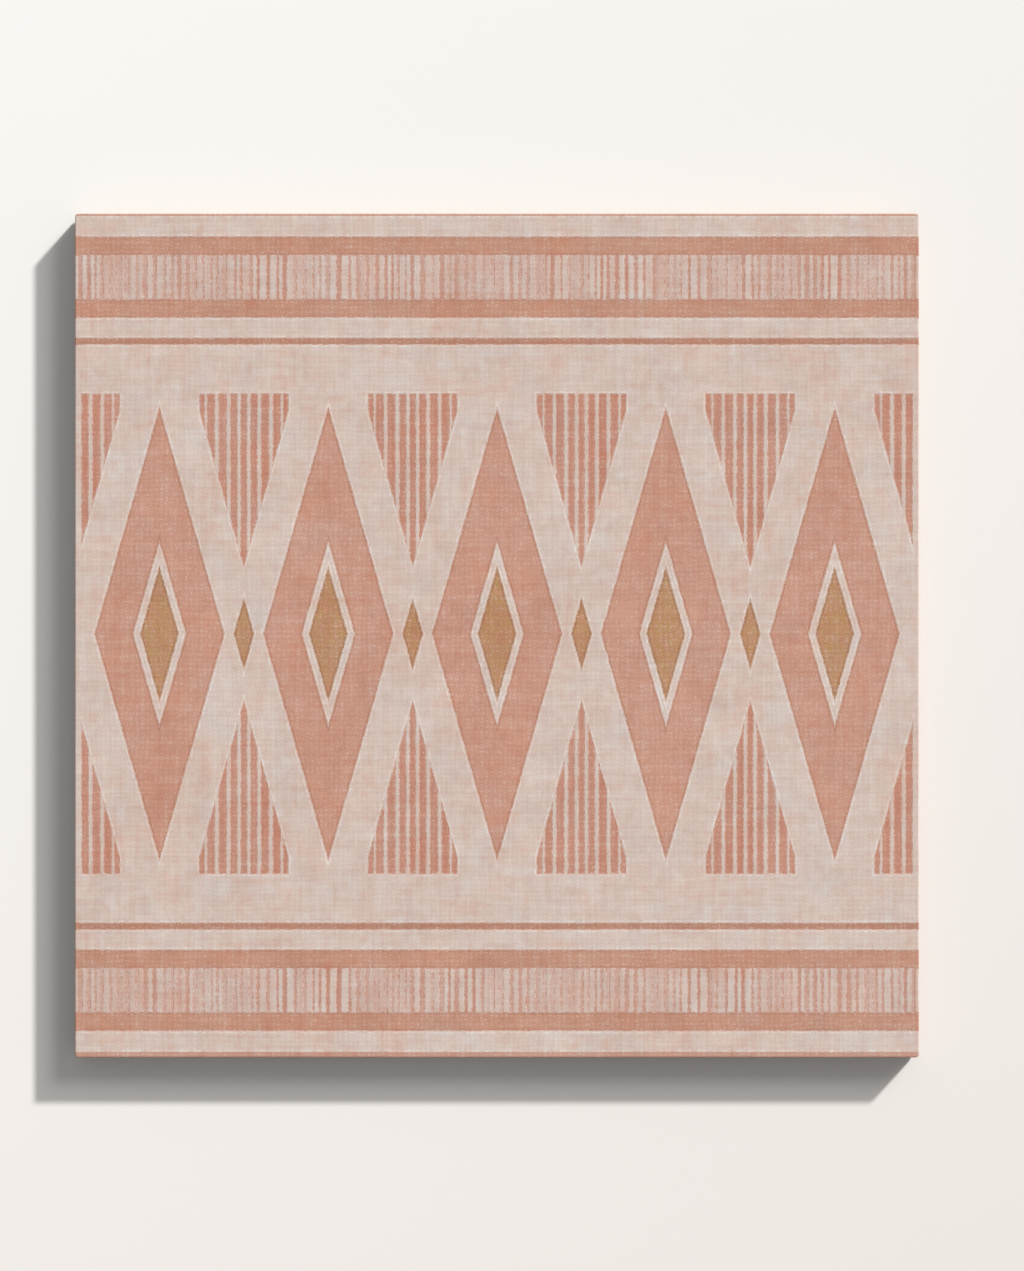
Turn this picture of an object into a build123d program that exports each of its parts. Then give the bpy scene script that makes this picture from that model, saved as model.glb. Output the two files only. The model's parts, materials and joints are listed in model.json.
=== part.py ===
"""Porcelain border tile: one square piece, dry-pressed and fired, with a keyed back.

The tile lies flat with its printed face up. The origin is the middle of the back, on the plane of the
keying ribs that the tile rests on. +X runs along the border, +Y across it, and +Z out of the printed face.
"""

import os

from build123d import *

# Outline and thickness, in millimetres
tile_length = 200.0  # along the border, X
tile_width = 200.0  # across the border, Y
tile_thickness = 9.0  # from the keying ribs to the printed face, Z

# Edges, in millimetres
upright_corner_radius = 0.8  # the four upright corners of the outline
face_arris_radius = 0.3  # soft edge that the press leaves round the printed face
back_bevel_height = 1.4  # how far the bevel round the back climbs each side
back_bevel_inset = 0.7  # how far that bevel reaches in under the tile

# Keying grid pressed into the back, in millimetres and degrees
rim_width = 9.0  # plain margin from the tile's edge to the first pocket
rib_width = 3.2  # rib left standing between two pockets
pocket_depth = 0.8  # from the rib faces up to a pocket's floor
pocket_corner_radius = 1.6
pocket_draft = 30.0  # slope of the pocket walls from upright, so that the punch lets go
pockets_along = 10  # pockets in a row along X
pockets_across = 10  # pockets in a row along Y


def pocket_side(tile_side, pocket_count):
    """Side of one pocket, where the pockets and ribs share what the two rims leave of a tile side."""
    return (tile_side - 2 * rim_width - (pocket_count - 1) * rib_width) / pocket_count


pocket_length = pocket_side(tile_length, pockets_along)
pocket_width = pocket_side(tile_width, pockets_across)

with BuildPart() as border_tile:
    # Pressed slab
    with BuildSketch(Plane.XY):
        Rectangle(tile_length, tile_width)
    extrude(amount=tile_thickness)

    # Bevel round the back, which leaves room for adhesive and grout under the joint
    back_face = border_tile.faces().sort_by(Axis.Z)[0]
    chamfer(back_face.edges(), length=back_bevel_inset, length2=back_bevel_height, reference=back_face)

    # Rounded corners, up the sides and along the bevel
    corner_edges = border_tile.edges().filter_by(Plane.XY, reverse=True)
    fillet(corner_edges, radius=upright_corner_radius)

    # Soft arris round the printed face
    printed_face = border_tile.faces().sort_by(Axis.Z)[-1]
    fillet(printed_face.edges(), radius=face_arris_radius)

    # Keying pockets, with the ribs left standing between them
    with BuildSketch(Plane.XY):
        with GridLocations(pocket_length + rib_width, pocket_width + rib_width, pockets_along, pockets_across):
            RectangleRounded(pocket_length, pocket_width, pocket_corner_radius)
    extrude(amount=pocket_depth, taper=pocket_draft, mode=Mode.SUBTRACT)

border_tile.part.label = "border_tile"

os.makedirs("parts", exist_ok=True)
export_step(border_tile.part, "parts/border_tile.step")
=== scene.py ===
"""Porcelain border tile, dressed for its looks: a matt printed face with a woven grain, on a bare body.

The tile is the CAD tile's own shape. The border design is cut into its face as real faces, sunk by a few
hundredths of a millimetre as such a print sinks, and each colour of the print has its own finish.
"""

import json
import math
import random
from typing import NamedTuple

import bmesh
import bpy
from bpy.props import FloatProperty, FloatVectorProperty, IntProperty, PointerProperty
from mathutils import Color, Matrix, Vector

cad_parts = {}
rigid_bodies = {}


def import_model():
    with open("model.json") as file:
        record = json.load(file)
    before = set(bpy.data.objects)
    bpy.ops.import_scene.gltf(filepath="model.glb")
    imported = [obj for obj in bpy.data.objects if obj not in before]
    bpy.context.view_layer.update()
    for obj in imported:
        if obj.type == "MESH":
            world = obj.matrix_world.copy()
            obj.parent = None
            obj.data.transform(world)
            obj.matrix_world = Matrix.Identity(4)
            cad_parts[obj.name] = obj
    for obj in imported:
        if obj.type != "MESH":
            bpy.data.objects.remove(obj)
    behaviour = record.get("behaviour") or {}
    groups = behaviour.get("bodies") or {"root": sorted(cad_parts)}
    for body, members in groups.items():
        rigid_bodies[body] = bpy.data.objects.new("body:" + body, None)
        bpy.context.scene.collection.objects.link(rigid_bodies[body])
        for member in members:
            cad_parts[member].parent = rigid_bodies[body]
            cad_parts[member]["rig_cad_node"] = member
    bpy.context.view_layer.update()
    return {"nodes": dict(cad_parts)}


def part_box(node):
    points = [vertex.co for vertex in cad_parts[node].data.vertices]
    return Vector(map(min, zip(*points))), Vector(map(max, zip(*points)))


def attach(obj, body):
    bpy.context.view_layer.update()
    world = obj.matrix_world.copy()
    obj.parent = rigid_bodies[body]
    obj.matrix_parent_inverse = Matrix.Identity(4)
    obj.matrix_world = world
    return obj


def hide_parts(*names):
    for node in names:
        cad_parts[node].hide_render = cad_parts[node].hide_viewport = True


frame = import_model()

bl_info = {
    "name": "Porcelain border tile",
    "version": (1, 0, 0),
    "blender": (4, 5, 0),
    "location": "3D View > Sidebar > Border tile",
    "description": "Makes a printed porcelain border tile on its pressed body, and a plain stage for it",
    "category": "Object",
}

MM = 0.001
TILE_NODE = "border_tile"
PIECE_NAME = "printed_border_tile"
BODY = "root"

tile_low, tile_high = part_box(TILE_NODE)
HALF_LENGTH = tile_high.x
HALF_WIDTH = tile_high.y
FACE_HEIGHT = tile_high.z
ARRIS_REACH = 0.3 * MM  # how far the soft edge round the face reaches in and down
END_STRIP = 0.9 * MM  # strip at each end of the face that holds its rounded corners

MERGE_DISTANCE = 0.0001 * MM
FLAT_ANGLE = math.radians(0.1)
SHARP_ANGLE = math.radians(30)
FLAT_NORMAL = 0.99999  # a face whose normal reaches this far up lies level
STEEP_NORMAL = 0.1  # a face whose normal reaches less far up or down than this belongs to a side
ROUNDED_NORMAL = 0.02  # a face whose normal leans this far along both X and Y belongs to a rounded corner

# Seeds of the lines drawn by hand
TICK_SEED = 11
HATCHING_SEED = 5

# The bake map gives the printed face most of its square; the back, in strips, and the sides share the rest
BAKE_MAP = "OFBake"
MAP_MARGIN = 0.005
MAP_FACE = 0.86
MAP_REST_START = 0.875
MAP_REST = 0.12
MAP_GAP = 0.004
BACK_STRIPS = 3
BACK_STRIP_WIDTH = 2 * HALF_LENGTH / BACK_STRIPS
MAP_STRIP_HEIGHT = (1 - 2 * MAP_MARGIN - (BACK_STRIPS - 1) * MAP_GAP) / BACK_STRIPS
MAP_STRIP_SCALE = MAP_STRIP_HEIGHT / (2 * HALF_WIDTH)
SIDES = 4
MAP_SIDE_HEIGHT = (MAP_REST - (SIDES - 1) * MAP_GAP) / SIDES

# The floor is open under the tile, so that the back shows from below
FLOOR_LEDGE = 3 * MM  # how far the floor reaches in under the tile's outline
FLOOR_DROP = 0.02 * MM  # keeps the floor clear of the back that lies on it

# The picture, in pixels
PICTURE_WIDTH = 1024
PICTURE_HEIGHT = 1271
PICTURE_TILE = 844  # width of the tile
PICTURE_SHIFT = 15  # how far left of the picture's middle the tile lies


class Ink(NamedTuple):
    """How a finish takes its ink."""

    faint: float = 1.0  # strength where the print is faint
    full: float = 1.0  # strength where the print is full
    broken: bool = False  # whether it breaks up
    streaked: bool = False  # whether slanting streaks run through it


# Finishes of the tile, in the order of its material slots
PRINTED = {
    "ground": Ink(),
    "edge_line": Ink(),
    "stripe": Ink(),
    "fine_line": Ink(),
    "tick": Ink(faint=0.42),
    "tick_gap": Ink(faint=0.36, full=0.0),
    "lozenge": Ink(),
    "hatching": Ink(faint=0.9),
    "ochre": Ink(streaked=True),
    # A pale rim painted along the print's edges: a painted highlight, a light halo round the ink
    "painted_halo_rim": Ink(broken=True),
    "print_rim": Ink(),
    "ochre_rim": Ink(),
    "print_edge": Ink(broken=True),
    "ochre_edge": Ink(broken=True),
}
BARE = "bare_body"
SLOT = {finish: index for index, finish in enumerate((*PRINTED, BARE))}


class Noise(NamedTuple):
    """A noise with features of about this size in millimetres, from 0 to 1."""

    size: float
    detail: float = 2.0
    rough: float = 0.5
    squeeze: tuple = (1.0, 1.0, 1.0)  # factors along each axis, where less than 1 draws it out
    turned: float = 0.0  # about Z, before the squeeze


class Layer(NamedTuple):
    """A layer of the face's grain: its noise, and how far it shifts a colour, in which direction."""

    noise: Noise
    amount: float
    lean: tuple


class Spread(NamedTuple):
    """A range of values, and the range that it is spread to."""

    low: float
    high: float
    new_low: float = 0.0
    new_high: float = 1.0


# Directions in which a colour shifts, for red, green and blue
NEUTRAL_LEAN = (1.0, 1.0, 1.0)
INK_LEAN = (0.31, 0.77, 1.0)
WARM_LEAN = (1.0, 0.15, -0.45)

# Woven grain of the printed face
WAVE_RADIANS = 20  # how far the wave texture turns in a length of 1 at a scale of 1
THREAD_DRIFT = Noise(11.0, detail=1.0)
THREAD_WANDER = 1.6  # how far the threads stray with that drift, in millimetres
THREAD_DISTORTION = 0.5
THREAD_DETAIL = 1.0
# The weave's tint is painted shade: darker between threads, lighter on their crowns
WEAVE_PAINTED_SHADE = 0.05  # how far the weave shifts a colour
GRAIN_LAYERS = {
    "grit": Layer(Noise(0.65, rough=0.6), 0.15, NEUTRAL_LEAN),
    "warp": Layer(Noise(1.2, squeeze=(1.0, 0.11, 1.0)), 0.34, INK_LEAN),
    "weft": Layer(Noise(1.2, squeeze=(0.11, 1.0, 1.0)), 0.34, INK_LEAN),
    "patches": Layer(Noise(28.0, detail=3.0, rough=0.6), 0.3, INK_LEAN),
    "clouds": Layer(Noise(6.0), 0.36, INK_LEAN),
    "flecks": Layer(Noise(2.2), 0.36, INK_LEAN),
    "blush": Layer(Noise(9.0, detail=3.0, rough=0.6), 0.22, WARM_LEAN),
}
NOISE_MIDDLE = 0.5

# How ink takes on that grain: it thins where grit and threads stand proud, swells and fades along the
# border, and breaks up at its edges
GRIT_IN_COVER = 1.4
CROWN_IN_COVER = 0.35
COVER = Spread(0.95, 1.3, 1.0, 0.66)
GRIT_IN_HEIGHT = 0.55
SWELLING = Noise(7.0, detail=3.0, rough=0.7, squeeze=(1.0, 0.02, 1.0))
FULLNESS = Spread(0.4, 0.6)
RAGGED_EDGE = Noise(1.1, detail=4.0, rough=0.7)
BREAKS = Spread(0.42, 0.58, 0.1, 1.0)
OCHRE_STREAKS = Noise(0.5, squeeze=(1.0, 0.12, 1.0), turned=math.radians(-32))
OCHRE_STREAK_MIX = Spread(0.38, 0.62)

# Bare body, with sizes and heights in millimetres
SPECKS = Noise(0.9, detail=3.0, rough=0.7)
SPECK_TONE = Spread(0.25, 0.75, 0.9, 1.08)
GRAIN_SIZE = 0.42
DARK_GRAIN_TONE = Spread(0.0, 0.16, 0.74, 1.0)
PALE_GRAIN_TONE = Spread(0.86, 1.0, 1.0, 1.22)
PRESS_STREAKS = Noise(1.6, squeeze=(1.0, 1.0, 0.1))
PRESS_STREAK_TONE = Spread(0.2, 0.8, 0.95, 1.05)
ENGOBE_EDGE = Spread(FACE_HEIGHT / MM - 0.75, FACE_HEIGHT / MM - 0.65)
ENGOBE_WAVER = 0.3  # how far up and down that edge strays
ROLLER_DRAGS = Noise(3.2, detail=4.0, rough=0.65, squeeze=(1.0, 0.16, 1.0))
SPECKS_IN_DUST = 0.5
DUST_COVER = Spread(0.66, 0.84, 0.0, 0.85)
DUST_HEIGHT = Spread(0.0, 0.35, 1.0, 0.0)
BODY_RELIEF = 2.0  # times the relief of the printed face

# The floor's colour is painted lighter in this direction, a painted light falloff, over this range in
# millimetres
FLOOR_LIGHT_SIDE = (-0.5, 0.87, 0.0)
FLOOR_FADE = Spread(-190.0, 190.0)


def length(name, description, default):
    """A length property, given in metres."""
    return FloatProperty(
        name=name, description=description, default=default, min=0.0, unit="LENGTH", precision=5
    )


def share(name, description, default, low=0.0, high=1.0):
    """A property that is a part of something."""
    return FloatProperty(
        name=name, description=description, default=default, min=low, max=high, subtype="FACTOR"
    )


def turn(name, description, degrees):
    """An angle property, given in degrees."""
    return FloatProperty(name=name, description=description, default=math.radians(degrees), subtype="ANGLE")


def strength(name, description, default):
    """A property that is the strength of a light."""
    return FloatProperty(name=name, description=description, default=default, min=0.0)


def colour(name, description, red, green, blue):
    """A colour property, given as it shows on a screen, from 0 to 255."""
    shown = (red / 255, green / 255, blue / 255)
    return FloatVectorProperty(
        name=name, description=description, default=shown, size=3, min=0.0, max=1.0, subtype="COLOR_GAMMA"
    )


class BorderPrintSizes(bpy.types.PropertyGroup):
    """Sizes of the printed border, from the long edge of the print inwards."""

    shift: length("Shift", "How far the print sits off the middle of the tile, towards +Y", 0.4 * MM)
    edge_line: length("Edge line", "Fine line along each long edge of the print", 0.95 * MM)
    outer_margin: length("Outer margin", "Plain ground inside the edge line", 4.85 * MM)
    outer_stripe: length("Outer stripe", "Stripe outside the ticked band", 4.6 * MM)
    ticked_band: length("Ticked band", "Band of fine ticks between the stripes", 10.2 * MM)
    inner_stripe: length("Inner stripe", "Stripe inside the ticked band", 4.6 * MM)
    inner_margin: length("Inner margin", "Plain ground inside the inner stripe", 4.6 * MM)
    fine_line: length("Fine line", "Fine line along the middle field", 1.8 * MM)
    tick: length("Tick", "Width of a tick", 1.0 * MM)
    tick_gap: length("Tick gap", "Gap between two ticks", 1.0 * MM)
    hand: share("Hand", "How far ticks, hatching and their gaps stray from an even width", 0.42, high=0.6)
    lozenges: IntProperty(
        name="Lozenges", description="Whole lozenges along the tile, an odd count", default=5, min=1
    )
    lozenge_reach: length("Lozenge reach", "From the print's middle to a lozenge's tip", 54 * MM)
    lattice_gap: length("Lattice gap", "Ground left between two lozenges, along the border", 9 * MM)
    hatching_reach: length("Hatching reach", "From the print's middle to a hatched triangle's base", 57 * MM)
    hatching: length("Hatching", "Width of a hatching line", 1.7 * MM)
    hatching_gap: length("Hatching gap", "Gap between two hatching lines", 0.6 * MM)
    hatching_trim: length("Hatching trim", "Ground left at the corners of a hatched triangle", 1.2 * MM)
    core_depth: length("Core depth", "From a lozenge's edge in to the ring round its core", 9.0 * MM)
    core_ring: length("Core ring", "Ring of ground round a lozenge's core", 1.4 * MM)
    accent_margin: length("Accent margin", "Ground left round the small accents between lozenges", 1.9 * MM)
    sink: length("Sink", "How deep the print sinks into the face", 0.024 * MM)
    sink_wall: length("Sink wall", "Width of the slope from the face down to the print", 0.25 * MM)
    rim: length("Rim", "Width of the darker rim that ink leaves along an edge", 0.4 * MM)
    # The pale rim along the print is a painted highlight, a light halo round the ink
    painted_halo_rim: length("Ground rim", "Width of the clean edge of the ground along the print", 0.45 * MM)


class BorderPrintColours(bpy.types.PropertyGroup):
    """Colours of the printed face and of the bare body."""

    ground: colour("Ground", "Off-white ground of the face", 209, 187, 175)
    edge_line: colour("Edge line", "Fine lines along the long edges", 192, 147, 129)
    stripe: colour("Stripe", "Stripes on each side of the ticks", 191, 140, 117)
    fine_line: colour("Fine line", "Fine lines along the middle field", 179, 129, 107)
    tick: colour("Tick", "Ticks between the stripes", 190, 137, 118)
    tick_gap: colour("Tick gap", "Haze of ink between faint ticks", 190, 137, 118)
    lozenge: colour("Lozenge", "Lozenges of the middle field", 196, 145, 124)
    hatching: colour("Hatching", "Hatching between the lozenges", 189, 131, 109)
    ochre: colour("Ochre", "Accents in and between the lozenges", 178, 135, 89)
    ochre_streak: colour("Ochre streak", "Fine slanting streaks in the accents", 186, 134, 106)
    # Colour of the painted highlight: a pale halo on the ground round the ink
    painted_halo_rim: colour("Ground rim", "Clean edge of the ground along the print", 221, 204, 194)
    print_rim: colour("Print rim", "Edge of the larger printed areas", 184, 132, 110)
    ochre_rim: colour("Ochre rim", "Edge of the accents", 167, 120, 86)
    print_edge: colour("Print edge", "Broken edge of the print", 190, 137, 115)
    ochre_edge: colour("Ochre edge", "Broken edge of the accents", 175, 128, 92)
    bare_body: colour("Bare body", "Fired body on the sides and the back", 145, 131, 121)
    engobe: colour("Engobe", "Thin pale layer under the print, seen as a line round the sides", 214, 206, 196)
    kiln_dust: colour("Kiln dust", "Pale dust from the kiln rollers on the ribs", 206, 199, 190)


class WovenGrain(bpy.types.PropertyGroup):
    """Woven grain of the printed face and roughness of the surfaces."""

    thread: length("Thread", "Pitch of the woven grain", 1.15 * MM)
    relief: length("Relief", "Height of the woven grain", 0.014 * MM)
    face_roughness: share("Face roughness", "Roughness of the printed face", 0.72)
    body_roughness: share("Body roughness", "Roughness of the bare body", 0.86)
    gloss: share("Gloss", "How much of a glaze's usual gloss the matt surface keeps", 0.35)


class TileStage(bpy.types.PropertyGroup):
    """Floor, light and camera."""

    # The floor's two colours paint a light falloff across it, lighter at the top left
    floor_light: colour("Floor, light", "Floor at the top left of the picture", 250, 247, 242)
    floor_dim: colour("Floor, dim", "Floor at the bottom right of the picture", 239, 232, 226)
    floor_side: length("Floor side", "Side of the floor", 6.0)
    lamp_azimuth: turn("Lamp azimuth", "Where the two lamps stand, anticlockwise from +X", 47.9)
    key_strength: strength("Key strength", "Strength of the key lamp", 3.48)
    key_elevation: turn("Key elevation", "How high the key lamp stands", 29.8)
    key_size: turn("Key size", "Angle that the key lamp fills, which softens its shadow", 4)
    soft_strength: strength("Soft strength", "Strength of the soft lamp above the key lamp", 0.75)
    soft_elevation: turn("Soft elevation", "How high the soft lamp stands", 42)
    soft_size: turn("Soft size", "Angle that the soft lamp fills", 20)
    fill_strength: strength("Fill strength", "Strength of the even light from all round", 0.3)
    fill_shade: colour("Fill shade", "Shade of the even light, a little cool", 248, 251, 255)
    lens: FloatProperty(
        name="Lens", description="Focal length of the camera", default=180, min=1, unit="CAMERA"
    )
    tile_share: share(
        "Tile share", "Part of the picture's width that the tile fills", PICTURE_TILE / PICTURE_WIDTH, low=0.1
    )
    tile_left: share(
        "Tile left",
        "How far left of the middle the tile lies, in picture widths",
        PICTURE_SHIFT / PICTURE_WIDTH,
        low=-0.5,
    )


# Selecting and cutting faces in edit mode


def select_faces(tile, test, finishes=SLOT):
    """Selects only the shown faces with these finishes whose centre and normal pass the test."""
    bpy.ops.mesh.select_all(action="DESELECT")
    slots = {SLOT[finish] for finish in finishes}
    mesh = bmesh.from_edit_mesh(tile.data)
    for face in mesh.faces:
        if face.hide or face.material_index not in slots:
            continue
        if test(face.calc_center_median(), face.normal):
            face.select_set(True)
    bmesh.update_edit_mesh(tile.data)


def select_finish(tile, finish):
    """Selects only the shown faces with this finish."""
    bpy.ops.mesh.select_all(action="DESELECT")
    tile.active_material_index = SLOT[finish]
    bpy.ops.object.material_slot_select()


def assign(tile, finish):
    """Gives the selected faces a finish."""
    tile.active_material_index = SLOT[finish]
    bpy.ops.object.material_slot_assign()


def cut(point, normal):
    """Cuts the selected faces along a plane, and keeps both halves."""
    bpy.ops.mesh.bisect(plane_co=point, plane_no=Vector(normal).normalized(), threshold=MERGE_DISTANCE)


def on_printed_side(centre, normal):
    """Whether a face belongs to the printed face or to the soft edge round it."""
    return centre.z > FACE_HEIGHT - ARRIS_REACH


def on_bare_body(centre, normal):
    """Whether a face belongs to the sides or the back."""
    return not on_printed_side(centre, normal)


def on_back(centre, normal):
    """Whether a face belongs to the back or to the bevel round it."""
    return normal.z < -STEEP_NORMAL


def on_soft_edge(centre, normal):
    """Whether a face belongs to the soft edge round the printed face."""
    inset = min(HALF_LENGTH - abs(centre.x), HALF_WIDTH - abs(centre.y))
    return inset < ARRIS_REACH and on_printed_side(centre, normal)


def is_rounded(centre, normal):
    """Whether a face belongs to the soft edge, or to a rounded corner of the outline or of a pocket."""
    corner = min(abs(normal.x), abs(normal.y)) > ROUNDED_NORMAL and on_bare_body(centre, normal)
    return corner or on_soft_edge(centre, normal)


def lies_level(centre, normal):
    """Whether a face lies level, as the ground and the floors of the print do."""
    return normal.z > FLAT_NORMAL


# Making the tile


def copy_of_pressed_tile():
    """A merged copy of the CAD tile, in edit mode, with only its face and soft edge shown."""
    bpy.ops.object.select_all(action="DESELECT")
    pressed = frame["nodes"][TILE_NODE]
    pressed.select_set(True)
    bpy.context.view_layer.objects.active = pressed
    bpy.ops.object.duplicate()
    tile = bpy.context.view_layer.objects.active
    tile.name = PIECE_NAME
    tile.data.name = PIECE_NAME
    del tile["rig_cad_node"]  # the copy is a piece of its own and no CAD node
    bpy.ops.object.mode_set(mode="EDIT")
    bpy.ops.mesh.select_mode(type="FACE")
    bpy.ops.mesh.select_all(action="SELECT")
    bpy.ops.mesh.customdata_custom_splitnormals_clear()
    bpy.ops.mesh.remove_doubles(threshold=MERGE_DISTANCE)
    select_faces(tile, on_printed_side)
    bpy.ops.mesh.dissolve_limited(angle_limit=FLAT_ANGLE)
    select_faces(tile, on_printed_side)
    bpy.ops.mesh.hide(unselected=True)
    return tile


def stripes_of(sizes):
    """The stripes from the print's long edge inwards: finish, where it starts and where it ends."""
    widths = (
        ("edge_line", sizes.edge_line),
        ("ground", sizes.outer_margin),
        ("stripe", sizes.outer_stripe),
        ("tick", sizes.ticked_band),
        ("stripe", sizes.inner_stripe),
        ("ground", sizes.inner_margin),
        ("fine_line", sizes.fine_line),
    )
    stripes = []
    start = -sizes.shift  # on the side that the print shifts away from, the edge line is wider by this
    end = 0.0
    for finish, width in widths:
        end += width
        stripes.append((finish, start, end))
        start = end
    return stripes


def cut_stripes(tile, sizes):
    """Cuts the stripes along both long edges and gives each its finish, round the soft edge too."""
    bpy.ops.mesh.select_all(action="SELECT")
    assign(tile, "ground")
    for finish, start, end in stripes_of(sizes):
        for side in (-1, 1):
            bpy.ops.mesh.select_all(action="SELECT")
            cut((0, sizes.shift + side * (HALF_WIDTH - end), 0), (0, 1, 0))
        select_faces(tile, lambda centre, normal: start < HALF_WIDTH - abs(centre.y - sizes.shift) < end)
        assign(tile, finish)
    select_faces(tile, on_soft_edge, ["tick"])
    assign(tile, "ground")


def uneven_strokes(draw, start, end, line, gap, hand):
    """Near and far edge of each of a row of lines drawn by hand, each after a gap, that fill start to end."""
    count = round((end - start) / (line + gap))
    widths = [[width * (1 + draw.uniform(-hand, hand)) for width in (gap, line)] for _ in range(count)]
    fit = (end - start) / sum(map(sum, widths))
    strokes = []
    far = start
    for gap_width, line_width in widths:
        near = far + gap_width * fit
        far = near + line_width * fit
        strokes.append((near, far))
    return strokes


def mirrored(strokes, axis):
    """The strokes on both sides of an axis."""
    right = [(axis + near, axis + far) for near, far in strokes]
    left = [(axis - far, axis - near) for near, far in strokes]
    return left + right


def cut_lines(tile, lines, finish, between):
    """Cuts the faces of a finish into upright lines, and gives what lies between them another finish."""
    for line in lines:
        for edge in line:
            select_finish(tile, finish)
            cut((edge, 0, 0), (1, 0, 0))

    def off_the_lines(centre, normal):
        return not any(low < centre.x < high for low, high in lines)

    select_faces(tile, off_the_lines, [finish])
    assign(tile, between)


def cut_ticks(tile, sizes):
    """Cuts the ticks between the stripes, the same on both halves of the tile."""
    draw = random.Random(TICK_SEED)
    end = HALF_LENGTH - ARRIS_REACH - sizes.tick_gap / 2
    half_row = uneven_strokes(draw, -sizes.tick_gap / 2, end, sizes.tick, sizes.tick_gap, sizes.hand)
    cut_lines(tile, mirrored(half_row, 0.0), "tick", "tick_gap")


class Lattice:
    """Places of the lozenges and of the hatched triangles between them."""

    def __init__(self, sizes):
        self.shift = sizes.shift
        self.pitch = 2 * HALF_LENGTH / sizes.lozenges
        self.reach = sizes.lozenge_reach
        self.half = (self.pitch - sizes.lattice_gap) / 2
        self.slope = self.reach / self.half
        self.apex = sizes.lattice_gap / 2 * self.slope
        self.hatching_reach = sizes.hatching_reach
        self.base = (sizes.hatching_reach - self.apex) / self.slope - sizes.hatching_trim
        ends = sizes.lozenges // 2 + 1
        self.middles = [index * self.pitch for index in range(-ends, ends + 1)]
        self.axes = [middle + self.pitch / 2 for middle in self.middles[:-1]]

    def off_middle(self, x):
        """How far along the border a point is from the middle of the nearest lozenge."""
        return min(abs(x - middle) for middle in self.middles)

    def off_axis(self, x):
        """How far along the border a point is from the nearest axis between lozenges."""
        return min(abs(x - axis) for axis in self.axes)

    def across(self, y):
        """How far across the border a point is from the middle of the print."""
        return abs(y - self.shift)

    def off_lozenge(self, centre, normal):
        """Whether a face lies outside every lozenge."""
        return self.off_middle(centre.x) * self.slope + self.across(centre.y) >= self.reach

    def in_triangle(self, centre, normal):
        """Whether a face lies in the angle between two lozenges, where the hatching is."""
        return self.across(centre.y) > self.apex + self.off_axis(centre.x) * self.slope

    def among_lines(self, centre, normal):
        """Whether a face lies among the hatching lines."""
        reached = self.across(centre.y) < self.hatching_reach and self.off_axis(centre.x) < self.base
        return reached and self.in_triangle(centre, normal)

    def in_crossing(self, centre, normal):
        """Whether a face lies in a crossing of the lattice, between two lozenges and two triangles' tips."""
        on_tile = abs(centre.x) < HALF_LENGTH - self.pitch / 4
        return on_tile and self.across(centre.y) < self.apex - self.off_axis(centre.x) * self.slope


def cut_lattice(tile, lattice):
    """Cuts the lozenges, the triangles between them and the crossings of the lattice."""
    for side in (-1, 1):
        select_faces(tile, lies_level, ["ground"])
        cut((0, lattice.shift + side * lattice.hatching_reach, 0), (0, 1, 0))

    def in_field(centre, normal):
        return lies_level(centre, normal) and lattice.across(centre.y) < lattice.hatching_reach

    select_faces(tile, in_field)
    assign(tile, "lozenge")
    for middle in lattice.middles:
        for foot in (middle - lattice.half, middle + lattice.half):
            for lean in (-1, 1):
                select_finish(tile, "lozenge")
                cut((foot, lattice.shift, 0), (lattice.slope, lean, 0))
    select_faces(tile, lattice.in_triangle, ["lozenge"])
    assign(tile, "hatching")
    select_faces(tile, lattice.in_crossing, ["lozenge"])
    assign(tile, "ochre")
    select_faces(tile, lattice.off_lozenge, ["lozenge"])
    assign(tile, "ground")


def cut_hatching(tile, sizes, lattice):
    """Cuts the upright hatching of the triangles, the same about every axis between lozenges."""
    draw = random.Random(HATCHING_SEED)
    middle_line = sizes.hatching / 2
    half_row = uneven_strokes(draw, middle_line, lattice.base, sizes.hatching, sizes.hatching_gap, sizes.hand)
    lines = []
    for axis in lattice.axes:
        lines.append((axis - middle_line, axis + middle_line))
        lines += mirrored(half_row, axis)
    end = HALF_LENGTH - 2 * ARRIS_REACH
    cut_lines(tile, [line for line in lines if max(map(abs, line)) < end], "hatching", "ground")


def set_accents(tile, sizes):
    """Shrinks the accents on the crossings and sets a ringed core into each lozenge."""
    select_finish(tile, "ochre")
    bpy.ops.mesh.inset(thickness=sizes.accent_margin, use_individual=True, use_select_inset=True)
    assign(tile, "ground")
    select_finish(tile, "lozenge")
    bpy.ops.mesh.inset(thickness=sizes.core_depth, use_individual=True)
    assign(tile, "ground")
    bpy.ops.mesh.inset(thickness=sizes.core_ring, use_individual=True)
    assign(tile, "ochre")


def sink_print(tile, sizes):
    """Sinks every printed area a little, with a broken edge, and rims the larger ones with ink."""
    inks = ["stripe", "tick", "fine_line", "lozenge", "hatching"]

    def slopes(centre, normal):
        return not lies_level(centre, normal) and not on_soft_edge(centre, normal)

    def at_tile_end(centre, normal):
        return HALF_LENGTH - abs(centre.x) < ARRIS_REACH + sizes.sink_wall + sizes.rim

    select_faces(tile, lies_level, [*inks, "ochre"])
    bpy.ops.mesh.inset(thickness=sizes.sink_wall, depth=-sizes.sink)
    for finishes, edge in ((inks, "print_edge"), (["ochre"], "ochre_edge")):
        select_faces(tile, slopes, finishes)
        assign(tile, edge)
    for finishes, rim in ((["stripe", "lozenge"], "print_rim"), (["ochre"], "ochre_rim")):
        select_faces(tile, lies_level, finishes)
        bpy.ops.mesh.inset(thickness=sizes.rim, use_select_inset=True)
        assign(tile, rim)
    select_faces(tile, at_tile_end, ["print_rim", "print_edge"])
    assign(tile, "stripe")


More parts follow.
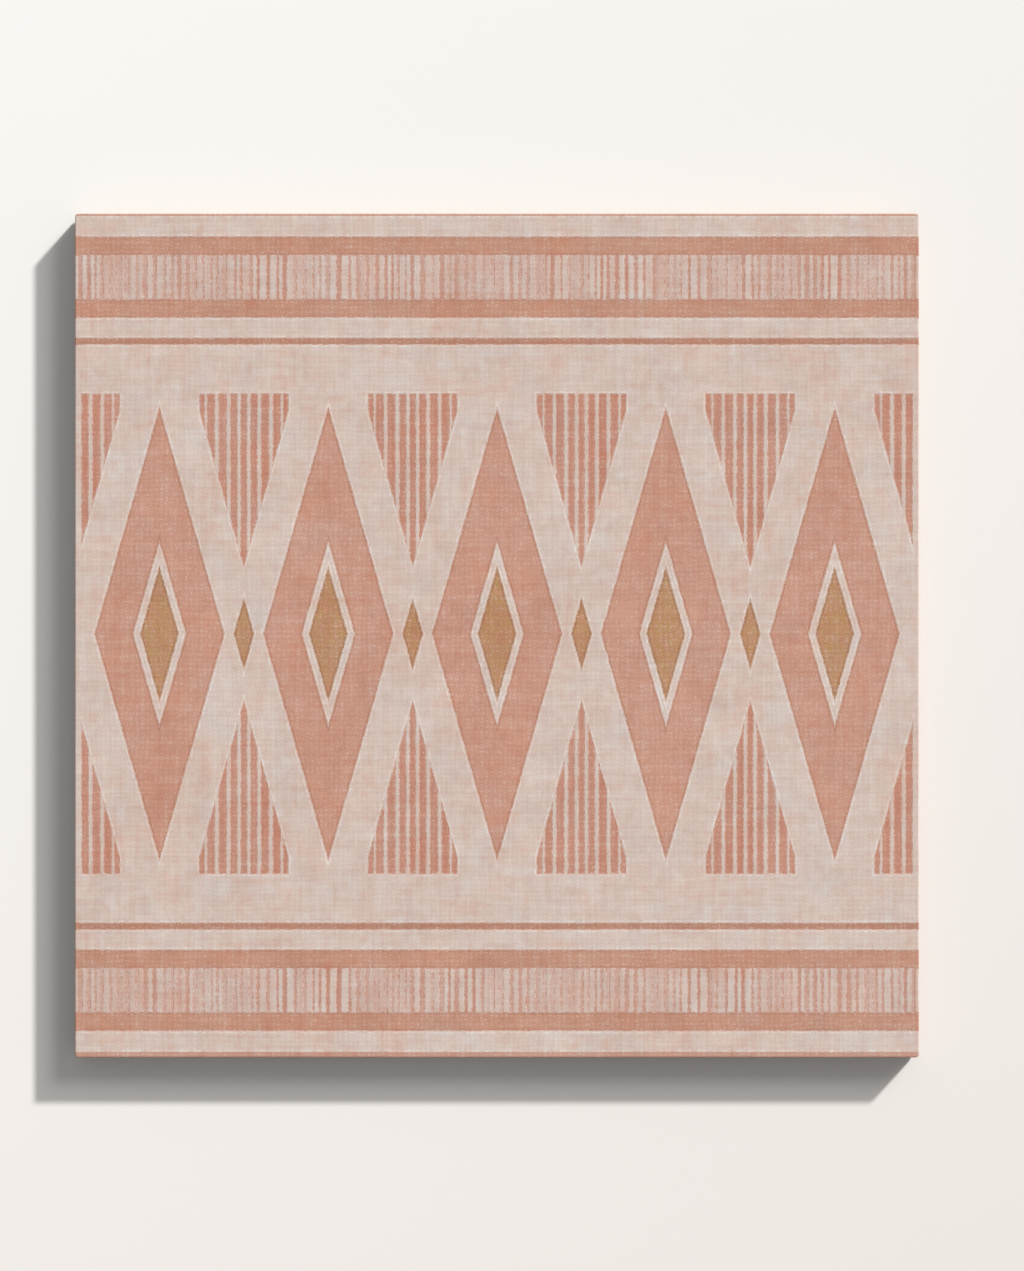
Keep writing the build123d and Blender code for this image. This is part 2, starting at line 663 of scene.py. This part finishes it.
def paint_halo_rim(tile, sizes, lattice):
    """Paints a pale rim on the ground along the print, a painted highlight like a light halo round the ink,
    but not between hatching lines or at the tile's ends.
    """
    end = HALF_LENGTH - END_STRIP

    def lies_open(centre, normal):
        return lies_level(centre, normal) and not lattice.among_lines(centre, normal)

    def takes_rim(centre, normal):
        return lies_open(centre, normal) and abs(centre.x) < end

    def at_tile_end(centre, normal):
        return end - abs(centre.x) < sizes.painted_halo_rim

    for side in (-1, 1):
        select_faces(tile, lies_open, ["ground"])
        cut((side * end, 0, 0), (1, 0, 0))
    # Painted highlight: a pale rim on the ground along the print
    select_faces(tile, takes_rim, ["ground"])
    bpy.ops.mesh.inset(thickness=sizes.painted_halo_rim, use_select_inset=True)
    assign(tile, "painted_halo_rim")
    select_faces(tile, at_tile_end, ["painted_halo_rim"])
    assign(tile, "ground")


def leave_body_bare(tile):
    """Shows the whole tile again, leaves its sides and back bare and cuts the back into the map's strips."""
    bpy.ops.mesh.reveal(select=False)
    select_faces(tile, on_bare_body)
    assign(tile, BARE)
    for index in range(1, BACK_STRIPS):
        select_faces(tile, on_back)
        cut((index * BACK_STRIP_WIDTH - HALF_LENGTH, 0, 0), (1, 0, 0))


def shade_faces(tile):
    """Shades the rounded faces smooth between sharp edges and the rest flat, and leaves edit mode."""
    bpy.ops.mesh.select_all(action="SELECT")
    bpy.ops.mesh.faces_shade_flat()
    select_faces(tile, is_rounded)
    bpy.ops.mesh.faces_shade_smooth()
    bpy.ops.mesh.select_all(action="DESELECT")
    bpy.ops.mesh.select_mode(type="EDGE")
    bpy.ops.mesh.edges_select_sharp(sharpness=SHARP_ANGLE)
    bpy.ops.mesh.mark_sharp()
    bpy.ops.mesh.select_all(action="DESELECT")
    bpy.ops.object.mode_set(mode="OBJECT")


def check_skin(tile):
    """Stops the work if the cuts have opened the tile's skin or folded its face over."""
    mesh = bmesh.new()
    mesh.from_mesh(tile.data)
    bmesh.ops.triangulate(mesh, faces=mesh.faces)
    mesh.normal_update()
    open_edges = sum(1 for edge in mesh.edges if len(edge.link_faces) != 2)
    printed = [face for face in mesh.faces if on_printed_side(face.calc_center_median(), face.normal)]
    folded = sum(1 for face in printed if face.normal.z <= 0)
    mesh.free()
    if open_edges or folded:
        raise RuntimeError(f"the tile's mesh has {open_edges} open edges and {folded} folded faces")


# Bake map


def face_spot(face, place):
    """Where a point of the printed face lies on the bake map."""
    along = (place.x + HALF_LENGTH) / (2 * HALF_LENGTH)
    across = (place.y + HALF_WIDTH) / (2 * HALF_WIDTH)
    return MAP_MARGIN + MAP_FACE * along, MAP_MARGIN + MAP_FACE * across


def back_spot(face, place):
    """Where a point of the back lies on the bake map, in its strip."""
    strip = math.floor((face.center.x + HALF_LENGTH) / BACK_STRIP_WIDTH)
    along = MAP_STRIP_SCALE * (place.x + HALF_LENGTH - strip * BACK_STRIP_WIDTH)
    across = MAP_STRIP_SCALE * (place.y + HALF_WIDTH)
    return MAP_REST_START + along, MAP_MARGIN + strip * (MAP_STRIP_HEIGHT + MAP_GAP) + across


def side_spot(face, place):
    """Where a point of one of the four sides lies on the bake map, in its row."""
    if abs(face.normal.x) > abs(face.normal.y):
        row = 3 if face.normal.x > 0 else 2
        along = (place.y + HALF_WIDTH) / (2 * HALF_WIDTH)
    else:
        row = 1 if face.normal.y > 0 else 0
        along = (place.x + HALF_LENGTH) / (2 * HALF_LENGTH)
    rise = row * (MAP_SIDE_HEIGHT + MAP_GAP) + MAP_SIDE_HEIGHT * place.z / FACE_HEIGHT
    return MAP_MARGIN + MAP_FACE * along, MAP_REST_START + rise


def lay_out_bake_map(tile):
    """Lays the printed face out large, with the strips of the back and the four sides beside it."""
    for old in list(tile.data.uv_layers):
        tile.data.uv_layers.remove(old)
    layer = tile.data.uv_layers.new(name=BAKE_MAP)
    for face in tile.data.polygons:
        if face.normal.z > STEEP_NORMAL:
            spot = face_spot
        elif face.normal.z < -STEEP_NORMAL:
            spot = back_spot
        else:
            spot = side_spot
        for corner in face.loop_indices:
            place = tile.data.vertices[tile.data.loops[corner].vertex_index].co
            layer.data[corner].uv = spot(face, place)


# Finishes


def linear(shown):
    """A colour picked on a screen, as the shader takes it."""
    return (*Color(shown).from_srgb_to_scene_linear(), 1.0)


def add_node(tree, kind, inputs=None, **settings):
    """Adds a node with its settings; each input is a socket to wire in or a value to write on it."""
    node = tree.nodes.new(kind)
    for name, value in settings.items():
        setattr(node, name, value)
    for name, value in (inputs or {}).items():
        if isinstance(value, bpy.types.NodeSocket):
            tree.links.new(value, node.inputs[name])
        else:
            node.inputs[name].default_value = value
    return node


def maths(tree, operation, *values):
    """Output of a math node."""
    return add_node(tree, "ShaderNodeMath", dict(enumerate(values)), operation=operation).outputs[0]


def vector_maths(tree, operation, *values):
    """Vector output of a vector math node."""
    node = add_node(tree, "ShaderNodeVectorMath", dict(enumerate(values)), operation=operation)
    return node.outputs["Vector"]


def stretched(tree, value, spread):
    """A value spread from one range to another, and held within it."""
    inputs = {
        "Value": value,
        "From Min": spread.low,
        "From Max": spread.high,
        "To Min": spread.new_low,
        "To Max": spread.new_high,
    }
    return add_node(tree, "ShaderNodeMapRange", inputs, clamp=True).outputs[0]


def mixed(tree, factor, first, second, blend_type="MIX"):
    """Two colours mixed by a factor."""
    inputs = {0: factor, 6: first, 7: second}
    return add_node(tree, "ShaderNodeMix", inputs, data_type="RGBA", blend_type=blend_type).outputs[2]


def in_millimetres(tree, squeeze=(1.0, 1.0, 1.0), turned=0.0):
    """The place on the piece in millimetres, turned about Z and then squeezed by a factor along each axis."""
    place = add_node(tree, "ShaderNodeTexCoord").outputs["Object"]
    if turned:
        turning = {"Vector": place, "Rotation": (0.0, 0.0, turned)}
        place = add_node(tree, "ShaderNodeMapping", turning).outputs[0]
    squeezing = {"Vector": place, "Scale": Vector(squeeze) / MM}
    return add_node(tree, "ShaderNodeMapping", squeezing).outputs[0]


def noise_node(tree, noise):
    """Node of a noise, whose first output is its value and whose other is three such values as a colour."""
    inputs = {
        "Vector": in_millimetres(tree, noise.squeeze, noise.turned),
        "Scale": 1 / noise.size,
        "Detail": noise.detail,
        "Roughness": noise.rough,
    }
    return add_node(tree, "ShaderNodeTexNoise", inputs)


def noise_value(tree, noise):
    """Value of a noise."""
    return noise_node(tree, noise).outputs[0]


def weave(tree, thread):
    """Plain weave of threads of this pitch that wander a little: 1 on a thread's crown, 0 between threads."""
    drift = noise_node(tree, THREAD_DRIFT).outputs["Color"]
    place = vector_maths(tree, "MULTIPLY_ADD", drift, [THREAD_WANDER] * 3, in_millimetres(tree))
    wave = {
        "Vector": place,
        "Scale": 2 * math.pi / (WAVE_RADIANS * thread),
        "Distortion": THREAD_DISTORTION,
        "Detail": THREAD_DETAIL,
    }
    warp = add_node(tree, "ShaderNodeTexWave", wave, bands_direction="X").outputs["Fac"]
    weft = add_node(tree, "ShaderNodeTexWave", wave, bands_direction="Y").outputs["Fac"]
    checks = {"Vector": place, "Scale": 1 / thread}
    weft_on_top = add_node(tree, "ShaderNodeTexChecker", checks).outputs["Fac"]
    return add_node(tree, "ShaderNodeMix", {0: weft_on_top, 2: warp, 3: weft}).outputs[0]


def shifted(tree, tint, value, amount, lean):
    """A tint that a value shifts to the light or to the dark in one direction."""
    shift = maths(tree, "MULTIPLY", maths(tree, "SUBTRACT", value, NOISE_MIDDLE), amount)
    return vector_maths(tree, "MULTIPLY_ADD", shift, lean, tint)


def woven_grain_group(grain):
    """Node group of the face's grain: its tint and height, and how ink covers, swells and breaks on it."""
    tree = bpy.data.node_groups.new("woven_grain", "ShaderNodeTree")
    tree.interface.new_socket("Tint", in_out="OUTPUT", socket_type="NodeSocketColor")
    for name in ("Cover", "Height", "Fullness", "Breaks"):
        tree.interface.new_socket(name, in_out="OUTPUT", socket_type="NodeSocketFloat")

    # Each layer shifts the surface to the light or to the dark, mostly as more or less ink would; the weave's
    # own shift is painted shade, darker between threads and lighter on their crowns
    woven = weave(tree, grain.thread / MM)
    # Painted shade of the weave: darker between threads and lighter on their crowns
    tint = shifted(tree, (1.0, 1.0, 1.0), woven, WEAVE_PAINTED_SHADE, NEUTRAL_LEAN)
    values = {}
    for name, layer in GRAIN_LAYERS.items():
        values[name] = noise_value(tree, layer.noise)
        tint = shifted(tree, tint, values[name], layer.amount, layer.lean)

    # Ink is thin on the crowns of thick threads and on grit
    grit = values["grit"]
    crown = maths(tree, "MULTIPLY", woven, maths(tree, "ADD", values["warp"], values["weft"]))
    proud = maths(tree, "MULTIPLY_ADD", grit, GRIT_IN_COVER, maths(tree, "MULTIPLY", crown, CROWN_IN_COVER))
    outputs = {
        "Tint": tint,
        "Cover": stretched(tree, proud, COVER),
        "Height": maths(tree, "MULTIPLY_ADD", grit, GRIT_IN_HEIGHT, crown),
        "Fullness": stretched(tree, noise_value(tree, SWELLING), FULLNESS),
        "Breaks": stretched(tree, noise_value(tree, RAGGED_EDGE), BREAKS),
    }
    add_node(tree, "NodeGroupOutput", outputs)
    return tree


def new_material(name):
    """An empty material and its tree."""
    material = bpy.data.materials.new(name)
    material.use_nodes = True
    material.node_tree.nodes.clear()
    return material, material.node_tree


def matt_surface(tree, shade, roughness, height, relief, gloss):
    """Ends a material in a matt fired surface with this colour, roughness and relief."""
    bump = add_node(tree, "ShaderNodeBump", {"Strength": 1.0, "Distance": relief, "Height": height})
    inputs = {
        "Base Color": shade,
        "Roughness": roughness,
        "Specular IOR Level": gloss,
        "Normal": bump.outputs[0],
    }
    shader = add_node(tree, "ShaderNodeBsdfPrincipled", inputs)
    add_node(tree, "ShaderNodeOutputMaterial", {"Surface": shader.outputs[0]})


def printed_finish(name, ink, colours, group, grain):
    """Matt fired print: ink over the ground, as strong and as whole as this ink is."""
    material, tree = new_material(name)
    surface = add_node(tree, "ShaderNodeGroup", node_tree=group).outputs
    cover = surface["Cover"]
    if ink.faint != ink.full:
        swelling = stretched(tree, surface["Fullness"], Spread(0.0, 1.0, ink.faint, ink.full))
        cover = maths(tree, "MULTIPLY", cover, swelling)
    if ink.broken:
        cover = maths(tree, "MULTIPLY", cover, surface["Breaks"])
    shade = linear(getattr(colours, name))
    if ink.streaked:
        streaks = stretched(tree, noise_value(tree, OCHRE_STREAKS), OCHRE_STREAK_MIX)
        shade = mixed(tree, streaks, shade, linear(colours.ochre_streak))
    inked = mixed(tree, cover, linear(colours.ground), shade)
    tinted = mixed(tree, 1.0, inked, surface["Tint"], "MULTIPLY")
    matt_surface(tree, tinted, grain.face_roughness, surface["Height"], grain.relief, grain.gloss)
    return material


def bare_finish(name, colours, grain):
    """Bare fired body: specks, press streaks, a pale line of engobe on the sides, kiln dust on the ribs."""
    material, tree = new_material(name)
    place = in_millimetres(tree)
    height = add_node(tree, "ShaderNodeSeparateXYZ", {0: place}).outputs["Z"]
    specks = noise_value(tree, SPECKS)
    streaks = noise_value(tree, PRESS_STREAKS)
    cells = add_node(tree, "ShaderNodeTexVoronoi", {"Vector": place, "Scale": 1 / GRAIN_SIZE})
    grains = add_node(tree, "ShaderNodeSeparateColor", {0: cells.outputs["Color"]}).outputs[0]

    layered = stretched(tree, maths(tree, "MULTIPLY_ADD", streaks, ENGOBE_WAVER, height), ENGOBE_EDGE)
    base = mixed(tree, layered, linear(colours.bare_body), linear(colours.engobe))
    dust = maths(tree, "MULTIPLY_ADD", specks, SPECKS_IN_DUST, noise_value(tree, ROLLER_DRAGS))
    on_ribs = stretched(tree, height, DUST_HEIGHT)
    dusted = maths(tree, "MULTIPLY", on_ribs, stretched(tree, dust, DUST_COVER))
    base = mixed(tree, dusted, base, linear(colours.kiln_dust))

    tone = stretched(tree, specks, SPECK_TONE)
    for value, spread in ((grains, DARK_GRAIN_TONE), (grains, PALE_GRAIN_TONE), (streaks, PRESS_STREAK_TONE)):
        tone = maths(tree, "MULTIPLY", tone, stretched(tree, value, spread))
    toned = add_node(tree, "ShaderNodeVectorMath", {0: base, "Scale": tone}, operation="SCALE").outputs[0]
    matt_surface(tree, toned, grain.body_roughness, specks, BODY_RELIEF * grain.relief, grain.gloss)
    return material


def make_finishes(tile, colours, grain):
    """Puts a finish in each of the tile's material slots."""
    group = woven_grain_group(grain)
    tile.data.materials.clear()
    for finish, ink in PRINTED.items():
        tile.data.materials.append(printed_finish(finish, ink, colours, group, grain))
    tile.data.materials.append(bare_finish(BARE, colours, grain))


class BORDERTILE_OT_make_tile(bpy.types.Operator):
    """Copy the pressed tile, cut the border design into its face and give it its finishes"""

    bl_idname = "border_tile.make_tile"
    bl_label = "Make tile"
    bl_options = {"REGISTER", "UNDO"}

    def execute(self, context):
        sizes = context.scene.border_print_sizes
        lattice = Lattice(sizes)
        tile = copy_of_pressed_tile()
        make_finishes(tile, context.scene.border_print_colours, context.scene.woven_grain)
        cut_stripes(tile, sizes)
        cut_ticks(tile, sizes)
        cut_lattice(tile, lattice)
        cut_hatching(tile, sizes, lattice)
        set_accents(tile, sizes)
        sink_print(tile, sizes)
        paint_halo_rim(tile, sizes, lattice)
        leave_body_bare(tile)
        shade_faces(tile)
        check_skin(tile)
        lay_out_bake_map(tile)
        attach(tile, BODY)
        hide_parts(TILE_NODE)
        return {"FINISHED"}


# Stage


def pale_floor(stage):
    """A pale floor, open under the tile, whose colour is painted to dim a little from the picture's top left
    to bottom right, a painted light falloff.
    """
    bpy.ops.mesh.primitive_plane_add(size=stage.floor_side, location=(0, 0, tile_low.z - FLOOR_DROP))
    floor = bpy.context.view_layer.objects.active
    floor.name = "floor"
    half_opening = min(HALF_LENGTH, HALF_WIDTH) - FLOOR_LEDGE
    bpy.ops.object.mode_set(mode="EDIT")
    bpy.ops.mesh.select_all(action="SELECT")
    bpy.ops.mesh.inset(thickness=stage.floor_side / 2 - half_opening)
    bpy.ops.mesh.delete(type="FACE")
    bpy.ops.object.mode_set(mode="OBJECT")

    material, tree = new_material("pale_floor")
    # Painted light falloff: the floor's colour grows lighter towards the picture's top left
    dot = {0: in_millimetres(tree), 1: FLOOR_LIGHT_SIDE}
    along = add_node(tree, "ShaderNodeVectorMath", dot, operation="DOT_PRODUCT").outputs["Value"]
    lightness = stretched(tree, along, FLOOR_FADE)
    shade = mixed(tree, lightness, linear(stage.floor_dim), linear(stage.floor_light))
    shader = add_node(tree, "ShaderNodeBsdfDiffuse", {"Color": shade})
    add_node(tree, "ShaderNodeOutputMaterial", {"Surface": shader.outputs[0]})
    floor.data.materials.append(material)


def even_light(stage):
    """Even light from all round, where the camera itself sees the floor's own colour."""
    world = bpy.data.worlds.new("even_light")
    bpy.context.scene.world = world
    world.use_nodes = True
    tree = world.node_tree
    tree.nodes.clear()
    fill = {"Color": linear(stage.fill_shade), "Strength": stage.fill_strength}
    backdrop = {"Color": linear(stage.floor_light), "Strength": 1.0}
    path = add_node(tree, "ShaderNodeLightPath").outputs
    seen = maths(tree, "MAXIMUM", path["Is Glossy Ray"], path["Is Transmission Ray"])
    seen = maths(tree, "MAXIMUM", path["Is Camera Ray"], seen)
    lights = [add_node(tree, "ShaderNodeBackground", inputs).outputs[0] for inputs in (fill, backdrop)]
    light = add_node(tree, "ShaderNodeMixShader", {0: seen, 1: lights[0], 2: lights[1]})
    add_node(tree, "ShaderNodeOutputWorld", {"Surface": light.outputs[0]})


def far_lamp(name, azimuth, elevation, energy, size):
    """A far lamp of this strength that fills this angle, a metre from the middle of the tile."""
    level = math.cos(elevation)
    towards = Vector((level * math.cos(azimuth), level * math.sin(azimuth), math.sin(elevation)))
    aim = towards.to_track_quat("Z", "Y").to_euler()
    bpy.ops.object.light_add(type="SUN", location=towards, rotation=aim)
    lamp = bpy.context.view_layer.objects.active
    lamp.name = name
    lamp.data.energy = energy
    lamp.data.angle = size


def studio_lamps(stage):
    """A crisp key lamp to the upper right of the picture, and a soft lamp above it that opens its shadow."""
    far_lamp("key_lamp", stage.lamp_azimuth, stage.key_elevation, stage.key_strength, stage.key_size)
    far_lamp("soft_lamp", stage.lamp_azimuth, stage.soft_elevation, stage.soft_strength, stage.soft_size)


def overhead_camera(stage):
    """A long lens straight above the tile, which lies a little left of the picture's middle."""
    seen_width = 2 * HALF_LENGTH / stage.tile_share
    seen_height = seen_width * PICTURE_HEIGHT / PICTURE_WIDTH
    bpy.ops.object.camera_add(rotation=(0, 0, 0))
    camera = bpy.context.view_layer.objects.active
    camera.name = "overhead_camera"
    camera.data.lens = stage.lens
    # In an upright picture the sensor's width spans the picture's height
    distance = seen_height * stage.lens / camera.data.sensor_width
    camera.location = (stage.tile_left * seen_width, 0, FACE_HEIGHT + distance)
    camera.data.dof.use_dof = False
    bpy.context.scene.camera = camera


class BORDERTILE_OT_set_stage(bpy.types.Operator):
    """Lay a pale floor under the tile, light it from the upper right and set the camera straight above"""

    bl_idname = "border_tile.set_stage"
    bl_label = "Set stage"
    bl_options = {"REGISTER", "UNDO"}

    def execute(self, context):
        stage = context.scene.tile_stage
        bpy.ops.object.select_all(action="DESELECT")
        pale_floor(stage)
        even_light(stage)
        studio_lamps(stage)
        overhead_camera(stage)
        context.scene.view_settings.view_transform = "Standard"
        return {"FINISHED"}


class BORDERTILE_PT_panel(bpy.types.Panel):
    """Sizes and colours of the border tile, and the steps that make it"""

    bl_idname = "BORDERTILE_PT_panel"
    bl_label = "Border tile"
    bl_space_type = "VIEW_3D"
    bl_region_type = "UI"
    bl_category = "Border tile"

    def draw(self, context):
        for name, group in GROUPS.items():
            box = self.layout.box()
            for setting in group.__annotations__:
                box.prop(getattr(context.scene, name), setting)
        self.layout.operator(BORDERTILE_OT_make_tile.bl_idname)
        self.layout.operator(BORDERTILE_OT_set_stage.bl_idname)


GROUPS = {
    "border_print_sizes": BorderPrintSizes,
    "border_print_colours": BorderPrintColours,
    "woven_grain": WovenGrain,
    "tile_stage": TileStage,
}
CLASSES = (*GROUPS.values(), BORDERTILE_OT_make_tile, BORDERTILE_OT_set_stage, BORDERTILE_PT_panel)


def register():
    for cls in CLASSES:
        bpy.utils.register_class(cls)
    for name, group in GROUPS.items():
        setattr(bpy.types.Scene, name, PointerProperty(type=group))


def unregister():
    for name in GROUPS:
        delattr(bpy.types.Scene, name)
    for cls in reversed(CLASSES):
        bpy.utils.unregister_class(cls)


def main():
    register()
    bpy.ops.border_tile.make_tile()
    bpy.ops.border_tile.set_stage()


if __name__ == "__main__":
    main()
